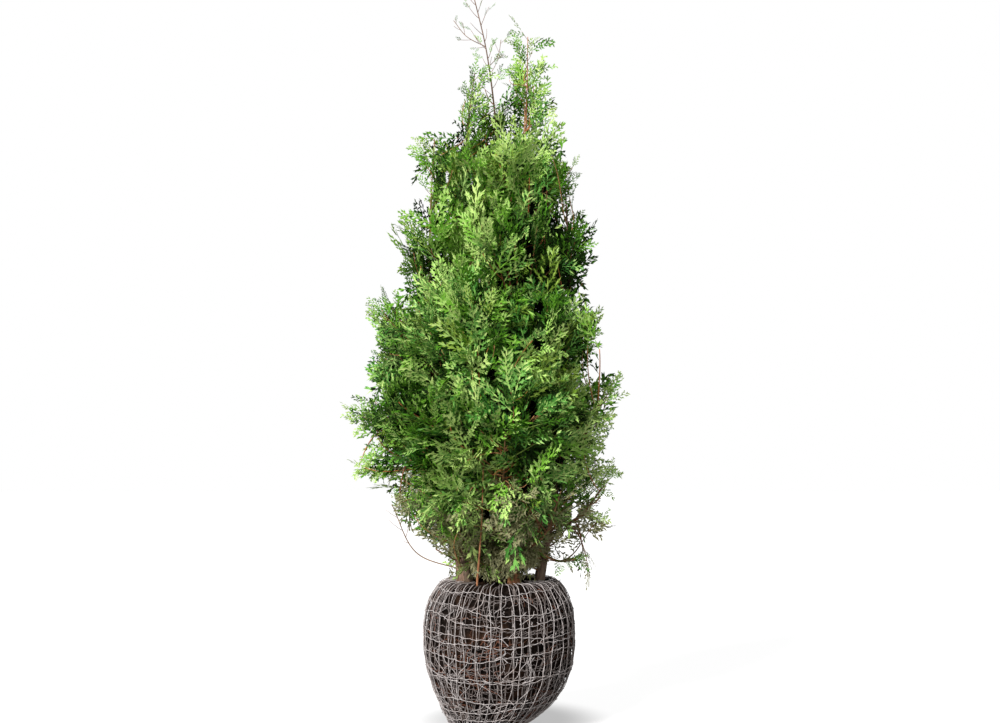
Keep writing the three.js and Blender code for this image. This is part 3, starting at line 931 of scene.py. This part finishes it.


# A spray's brightness: where it starts, and what each cause adds. lit, sideways and foot add painted light,
# inner adds painted shade.
scores = dict(base=0.57, lit=0.10, inner=-0.34, sideways=0.13, sprig=0.10, foot=0.08)


def leafScore(name, spot, outward, depth):  # 0 dark .. 1 bright
    # Painted light where a spray faces the key light, turns to the left or sideways low down, or hangs at
    # the foot; painted shade on the boughlets behind.
    score = scores["base"] + scores["lit"] * float(np.dot(outward, crown["light"]))
    score += scores["inner"] * min(1, max(0, depth))
    sideways = outward[0] < 0 or spot[2] < 1.2
    score += scores["sideways"] * abs(outward[0]) * sideways
    score += scores["sprig"] * name.startswith("sprig")
    score += scores["foot"] * (1 - float(ease(0.50, 0.70, spot[2])))
    # Painted light and shade by zone, on sprays that face the front.
    if outward[1] < 0.3:
        for x, z, wide, tall, amount in paintedLightAndShade:
            score += amount * math.exp(-((spot[0] - x) / wide) ** 2 - ((spot[2] - z) / tall) ** 2)
    return score


def thinned(spot):  # the share of boughlets left out where the crown is open
    shares = [share for low, high, under, over, share in crown["thin"]
              if low < spot[0] < high and under < spot[2] < over]
    return max(shares, default=0)


def growBoughlet(name, goal, outward, depth, rng):
    region = regionOf(name)
    lift = liftAt(name, goal[2])
    sprig, tuft = name.startswith("sprig"), name.startswith("tuft")
    flat = np.hypot(carriers[:, 0] - goal[0], carriers[:, 1] - goal[1])
    rise = np.interp(goal[2], *crown["rise"])
    cost = flat + 1.2 * np.abs(carriers[:, 2] - (goal[2] - 0.03 - rise * np.minimum(flat, 0.3)))
    nearest = np.argpartition(cost, crown["nearest"])[:crown["nearest"]]
    start = carriers[rng.choice(nearest)]
    foot, thick = start[:3], start[3]
    reach = goal - foot
    wander = squareTo(rng.normal(size=3), outward)
    way = unit(0.75 * unit(reach) + 0.30 * outward + lift * up * 0.8 + 0.38 * wander)
    length = rng.uniform(*crown["size"]) * (crown["shortSize"] if sprig or depth < 0 else 1)
    large, small = crown["sprayLength"]
    stand = rng.uniform(*crown["stand"]) * large * length  # how far back from the face it ends
    goal = goal - outward * stand * max(0.35, float(np.dot(way, outward)))
    reach = goal - foot
    far = np.linalg.norm(reach)
    leave = unit(unit(reach * [1, 1, 0]) + 0.55 * up * (1 if lift > 0 else 0.2))
    t = np.linspace(0, 1, 13)[:, None]
    a, b = foot + leave * 0.36 * far, goal - way * 0.36 * far
    path = (1 - t) ** 3 * foot + 3 * t * (1 - t) ** 2 * a + 3 * t * t * (1 - t) * b + t ** 3 * goal
    along = lengthsAlong(path)
    leafy = min(crown["leafy"] * rng.uniform(0.8, 1.3), along[-1] * 0.85)
    # Its sprays stand in one loose plane, broad side out.
    face = turned(squareTo(outward + 0.25 * up, way), way, rng.normal(0, 0.55))
    tone = leafScore(name, goal, outward, depth) + rng.normal(0, crown["toneSpread"][0])
    proud = crown["proud"] * rng.uniform(0.3, 1.7)
    fresh = 0.98 if goal[0] > 0.04 else 0.86  # above this height the greens are fresh
    dull = 1.2 if depth < -1 else 1 - float(ease(0.52, fresh, goal[2])) + rng.normal(0, 0.14)
    cool = rng.random() < (0.4 if goal[2] < 1.3 else 0.25)
    dull = -1 if cool and dull < 0.5 else dull
    high = goal[2] > crown["fineAbove"]
    fine = sprig or depth != 0 or high
    every = crown["every"] * (0.85 if high else 1.25 if tuft else 0.75 if sprig or depth else 1.0)
    count = max(3, int(leafy / every))
    side = rng.choice([-1, 1])
    reached = []
    for i in range(count):
        share = i / count
        at = along[-1] - leafy * (1 - share) + rng.uniform(-0.004, 0.004)
        spot = placeAt(path, along, at)
        ahead = unit(placeAt(path, along, at + 0.01) - spot + way * 0.002)
        side = -side
        plane = squareTo(face, ahead)
        spread = math.radians(crown["spread"] + rng.normal(0, 8) - 12 * share)
        out = turned(ahead, plane, side * spread)
        out = unit(out + rng.normal(0, 0.13, 3))
        look = turned(squareTo(plane, out), out, rng.normal(0, 0.38))
        kind = int(fine or rng.random() < 0.08 + 0.2 * share)
        base = small * (1.5 if depth > 0 else 1.2 if high else 1.0) if kind else large
        swell = 0.78 + 0.36 * math.sin(math.pi * (0.2 + 0.7 * share))  # larger in the middle
        size = length * base * swell * rng.uniform(0.82, 1.15)
        sag = rng.uniform(0.02, 0.16) + 0.16 * max(0, 0.4 - lift)
        # Painted light and shade: sprays further out along the boughlet are lighter, those near its base
        # darker.
        score = tone + 0.16 * (share - 0.6) + rng.normal(0, crown["toneSpread"][1])
        if addSpray(spot, out, look, size, sag, score, dull, kind, region, proud):
            reached.append(at)
    kind = int(fine)
    size = length * (small if kind else large) * rng.uniform(0.85, 1.15)
    # The end spray is a little lighter, as painted light.
    if addSpray(goal, way, squareTo(face, way), size, 0.06, tone + 0.08, dull, kind, region, proud):
        reached.append(along[-1])
    if len(reached) > 1:
        outer = np.interp(along, [0, along[-1]], [min(0.0026, thick * 0.7), 0.0009])
        upTo = np.linspace(0, min(along[-1], reached[-1] + 0.004), len(path))
        tint = rng.choice(len(twigTints), p=crown["twigShares"])
        boughlets.append((placeAt(path, along, upTo), np.interp(upTo, along, outer), region, tint))


for i, goal in enumerate(goals):
    rng = np.random.default_rng([crown["seed"], i])
    if rng.random() > thinned(goal[1]):
        growBoughlet(*goal, rng)
print("grown:", len(boughlets), "boughlets,", len(sprays), "sprays")

# Leaders: thin side twigs with small sprays, almost bare at the trunk's tip.
leaders = dict(
    trunk=dict(low=1.90, every=0.024, twig=(0.04, 0.10), leaf=0.034, sparse=0.5),
    top_fork_left=dict(low=2.04, every=0.022, twig=(0.02, 0.05), leaf=0.022, sparse=0.35),
    top_fork_right=dict(low=1.99, every=0.022, twig=(0.02, 0.05), leaf=0.026, sparse=0.4),
    leader_right=dict(low=1.84, every=0.021, twig=(0.02, 0.055), leaf=0.062, sparse=0.8),
    stem_left=dict(low=1.80, every=0.020, twig=(0.015, 0.035), leaf=0.056, sparse=0.8),
    shoulder_leader=dict(low=1.60, every=0.020, twig=(0.015, 0.04), leaf=0.056, sparse=0.75,
                         region="crown_shoulder"),
    bough_low_left=dict(low=0.56, every=0.022, twig=(0.02, 0.06), leaf=0.030, sparse=0.3,
                        region="crown_low_left"),
    bough_low_right=dict(low=0.40, every=0.024, twig=(0.02, 0.05), leaf=0.05, sparse=0.8,
                         region="crown_low_right"),
)


def growLeader(name, habit, rng):
    line, radius = lines[name]
    along = lengthsAlong(line)
    region = habit.get("region", "crown_top")
    side = 1
    at = np.interp(habit["low"], line[:, 2], along) if line[-1, 2] > line[0, 2] else 0.02
    while at < along[-1] - 0.004:
        spot = placeAt(line, along, at)
        ahead = unit(placeAt(line, along, at + 0.012) - spot + 1e-6 * up)
        side = -side
        turn = rng.uniform(-0.7, 0.7) + (0 if side > 0 else math.pi)
        flat = turned(squareTo(np.array([1.0, 0.0, 0.0]), ahead), ahead, turn)
        way = unit(ahead * rng.uniform(0.7, 1.3) + flat)
        length = rng.uniform(*habit["twig"]) * (0.55 + 0.45 * (1 - at / along[-1]))
        t = np.linspace(0, 1, 6)[:, None]
        path = spot + way * length * t + (ahead * 0.25 + rng.normal(0, 0.12, 3)) * length * t * t
        thick = min(0.0011, float(np.interp(at, along, radius)) * 0.7)
        boughlets.append((path, np.linspace(thick, 0.0006, 6), region, 0))
        for share in (0.45, 0.7, 1.0):
            if rng.random() > habit["sparse"]:
                continue
            q = path[0] + (path[-1] - path[0]) * share
            out = unit(way + rng.normal(0, 0.35, 3) + 0.2 * ahead)
            look = squareTo(np.array([0.2, -1.0, 0.3]) + rng.normal(0, 0.5, 3), out)
            leaf = habit["leaf"] * rng.uniform(0.7, 1.4)
            addSpray(q, out, look, leaf, 0.03, rng.normal(0.42, 0.12), 0, 1, region)
        at += habit["every"] * rng.uniform(0.7, 1.3)
    end = unit(line[-1] - line[-4])
    if habit["sparse"] > 0.5:
        look = squareTo(np.array([0.1, -1.0, 0.1]), end)
        addSpray(line[-1] - end * 0.01, end, look, habit["leaf"], 0.02, 0.5, 0, 1, region)


rng = np.random.default_rng(81)
for name, habit in leaders.items():
    growLeader(name, habit, rng)


# A spray's tint by its score. Each list holds places in leafTints.
greens = dict(
    steps=[0.10, 0.24, 0.37, 0.52, 0.70, 0.92],
    softShares=(0.04, 0.09, 1.2),  # above and below a height
    warmShare=0.10,
    dullSoft=(0.3, 0.75), dullMuted=(0.62, 0.88),  # from this dullness up, and the share turned
    cool=[0, 10, 11, 11, 12, 12, 6],
    soft=[0, 1, 13, 14, 14, 15, 15],
    warm=[0, 16, 16, 17, 17, 18, 18],
    muted=[13, 7, 7, 7, 8, 8, 8],
    lighter=[1, 2, 3, 4, 5, 6, 9, 8, 8, 9, 11, 12, 6, 14, 15, 9, 17, 18, 6],  # one for each tint
    darker=[0, 0, 1, 2, 3, 4, 5, 16, 7, 8, 0, 10, 11, 0, 13, 14, 0, 16, 17],
)


# Deals a tint to every spray: greens, some cooler, softer or warmer, and dull ones low down.
def dealTints(score, dull, heights, rng):
    step = np.digitize(score, greens["steps"])
    roll, kind = rng.random((2, len(score)))
    cool, soft, warm, muted = (np.array(greens[kin])[step] for kin in ("cool", "soft", "warm", "muted"))
    tint = np.where(dull == -1, cool, step)
    high, lower, level = greens["softShares"]
    softShare = np.where(heights > level, high, lower)
    tint = np.where(kind < softShare, soft, np.where(kind > 1 - greens["warmShare"], warm, tint))
    for family, (least, share) in ((soft, greens["dullSoft"]), (muted, greens["dullMuted"])):
        tint = np.where((dull > least) & (roll < share), family, tint)
    return tint


def seenIn(places, points, rng):  # points the camera sees inside ragged ellipses
    eye = np.array(view["camera"])
    scale = -eye[1] / (points[:, 1] - eye[1])
    x = eye[0] + (points[:, 0] - eye[0]) * scale
    z = eye[2] + (points[:, 2] - eye[2]) * scale
    hit = np.zeros(len(points), bool)
    for placeX, placeZ, halfX, halfZ in places:
        edge = rng.uniform(0.4, 1.5, len(points))
        hit |= ((x - placeX) / halfX) ** 2 + ((z - placeZ) / halfZ) ** 2 < edge
    return hit


def leafPieces():
    rng = np.random.default_rng(91)
    origin, way, facing = (np.array([s[k] for s in sprays]) for k in range(3))
    length, sag, score, dull, kind = (np.array([s[k] for s in sprays]) for k in range(3, 8))
    region = np.array([s[8] for s in sprays])
    facing = squareTo(facing, way)
    side = np.cross(facing, way)
    tint = dealTints(score, dull, origin[:, 2], rng)
    shape = kind * len(templates[0]) + rng.integers(len(templates[0]), size=len(sprays))
    cup = rng.uniform(-0.1, 0.35, len(sprays))
    found = {name: [] for name in regions}
    lighter, darker = np.array(greens["lighter"]), np.array(greens["darker"])
    for k, (corners, step) in enumerate(templates[0] + templates[1]):
        pick = np.flatnonzero(shape == k)
        local = corners[None] * length[pick, None, None, None]
        x, y, z = local[..., 0], local[..., 1], local[..., 2]
        size = length[pick, None, None]
        z = z - cup[pick, None, None] * y * y / size
        points = (origin[pick, None, None] + x[..., None] * way[pick, None, None]
                  + y[..., None] * side[pick, None, None] + z[..., None] * facing[pick, None, None])
        points[..., 2] -= sag[pick, None, None] * x * x / size
        tints = np.repeat(tint[pick, None], len(step), axis=1)
        # Painted highlights on ribs and tips and painted shade on some leaves: a blade's tint moves a step
        # lighter or darker.
        turn = rng.random(tints.shape) < 0.75
        tints = np.where(turn & (step > 0), lighter[tints],
                         np.where(turn & (step < 0), darker[tints], tints))
        tints = np.where((rng.random(tints.shape) < 0.5) & (step > 1), lighter[tints], tints)
        for name in regions:
            here = region[pick] == name
            found[name].append((points[here].reshape(-1, 4, 3), tints[here].ravel()))
    total = 0
    for name, lots in found.items():
        leaves = np.concatenate([points for points, _ in lots])
        tints = np.concatenate([t for _, t in lots])
        middle = leaves.mean(1)
        # Pockets: leaves before them are left out, and leaves behind them take the shade tint as painted
        # shade.
        pocket = seenIn(crown["pockets"], middle, rng)
        front, back = crown["pocketDepth"]
        tints = np.where(pocket & (middle[:, 1] < back), 0, tints)
        pocket &= middle[:, 1] < front
        keep = ~pocket & ~seenIn(crown["gaps"], middle, rng) & (leaves[..., 2].min(1) > 0.002)
        leaves, tints = leaves[keep], tints[keep]
        first = np.arange(len(leaves))[:, None] * 4
        tris = np.concatenate([first + [0, 1, 2], first + [0, 2, 3]], axis=1).reshape(-1, 3)
        piece = meshPiece(name, leaves.reshape(-1, 3), tris, leafTints,
                          tint=np.repeat(tints, 2))
        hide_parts(*[mass for mass in masses if regionOf(mass) == name])
        total += len(tris)
        print(name, len(tris), "triangles")
    print("foliage:", total, "triangles")


def twigPieces():
    groups = {"twigs_lower": ("crown_low", "crown_skirt", "crown_wide"),
              "twigs_upper": ("crown_top", "crown_shoulder", "crown_upper", "crown_middle")}
    for name, starts in groups.items():
        mine = [b for b in boughlets if b[2].startswith(starts)]
        parts, tints = [], []
        for count, sides in ((13, 4), (6, 3)):
            lot = [b for b in mine if len(b[0]) == count]
            if lot:
                paths, radii = (np.array([b[k] for b in lot]) for k in range(2))
                points, tris = tubes(paths, radii, sides)
                parts.append((points, tris))
                tints.append(np.repeat([b[3] for b in lot], len(tris) // len(lot)))
        points, tris = joined(parts)
        meshPiece(name, points, tris, twigTints, tint=np.concatenate(tints), smooth=True)
        print(name, len(tris), "triangles")


leafPieces()
twigPieces()


# Floor, light and camera.
studio = dict(
    key=(-3.0, -4.2, 4.4), keyPower=5.5, keySize=0.25,
    fill=(2.6, -3.6, 1.8), fillPower=30, fillSize=2.2,
    aim=(0, 0, 1.1), ambient=0.27,
    floorSize=18, floorGrey=0.24, floorGlow=0.92, hiddenGlow=0.1,
    shadowGlow=0.46, shadowPlace=(0.03, 0.12, 0.0), shadowFrom=0.16, shadowTo=0.35,  # a painted shadow: the floor glows less round the foot
)
white = (1, 1, 1, 1)


def addLight(name, kind, place, power, size):
    lamp = bpy.data.lights.new(name, kind)
    lamp.energy = power
    if kind == "SUN":
        lamp.angle = size
    else:
        lamp.size = size
    light = bpy.data.objects.new(name, lamp)
    light.location = place
    light.rotation_euler = (Vector(studio["aim"]) - Vector(place)).to_track_quat("-Z", "Y").to_euler()
    bpy.context.scene.collection.objects.link(light)


# One strength for what the camera sees, a number or a socket, another for the light it gives.
def seenStrength(tree, hidden, shown):
    seen = addNode(tree, "ShaderNodeLightPath").outputs["Is Camera Ray"]
    linked = not isinstance(shown, float)
    strength = addNode(tree, "ShaderNodeMapRange", [("Value", seen)] + [("To Max", shown)] * linked,
                       toMin=hidden, toMax=1.0 if linked else shown)
    return strength.outputs["Result"]


def paintedFootShadow(tree):  # a painted contact shadow: the floor glows less round the ball's foot
    place = addNode(tree, "ShaderNodeTexCoord").outputs["Object"]
    apart = addNode(tree, "ShaderNodeVectorMath", [(0, place)], operation="DISTANCE")
    apart.inputs[1].default_value = studio["shadowPlace"]
    ramp = addNode(tree, "ShaderNodeMapRange", [("Value", apart.outputs["Value"])],
                   interpolation_type="SMOOTHSTEP", fromMin=studio["shadowFrom"], fromMax=studio["shadowTo"],
                   toMin=studio["shadowGlow"], toMax=studio["floorGlow"])
    return ramp.outputs["Result"]


def buildFloor():
    bpy.ops.mesh.primitive_grid_add(x_subdivisions=23, y_subdivisions=23, size=studio["floorSize"])
    floor = bpy.context.object
    floor.name = "floor"
    material, shader = newMaterial("floor_white", 0.9, 0.0)
    shader.inputs["Base Color"].default_value = (*[studio["floorGrey"]] * 3, 1)
    shader.inputs["Emission Color"].default_value = white
    tree = material.node_tree
    glow = seenStrength(tree, studio["hiddenGlow"], paintedFootShadow(tree))
    tree.links.new(glow, shader.inputs["Emission Strength"])
    floor.data.materials.append(material)


def buildStudio():
    scene = bpy.context.scene
    world = bpy.data.worlds.new("studio")
    scene.world = world
    world.use_nodes = True
    background = world.node_tree.nodes["Background"].inputs
    background["Color"].default_value = white
    ambient = seenStrength(world.node_tree, studio["ambient"], 1.0)
    world.node_tree.links.new(ambient, background["Strength"])
    addLight("key", "SUN", studio["key"], studio["keyPower"], studio["keySize"])
    addLight("fill", "AREA", studio["fill"], studio["fillPower"], studio["fillSize"])
    lens = bpy.data.cameras.new("camera")
    lens.lens, lens.sensor_width = view["lens"], view["sensor"]
    camera = bpy.data.objects.new("camera", lens)
    camera.location = view["camera"]
    camera.rotation_euler = (math.pi / 2, 0, 0)
    scene.collection.objects.link(camera)
    scene.camera = camera
    scene.view_settings.view_transform = "Standard"


buildFloor()
buildStudio()
print("studio set")
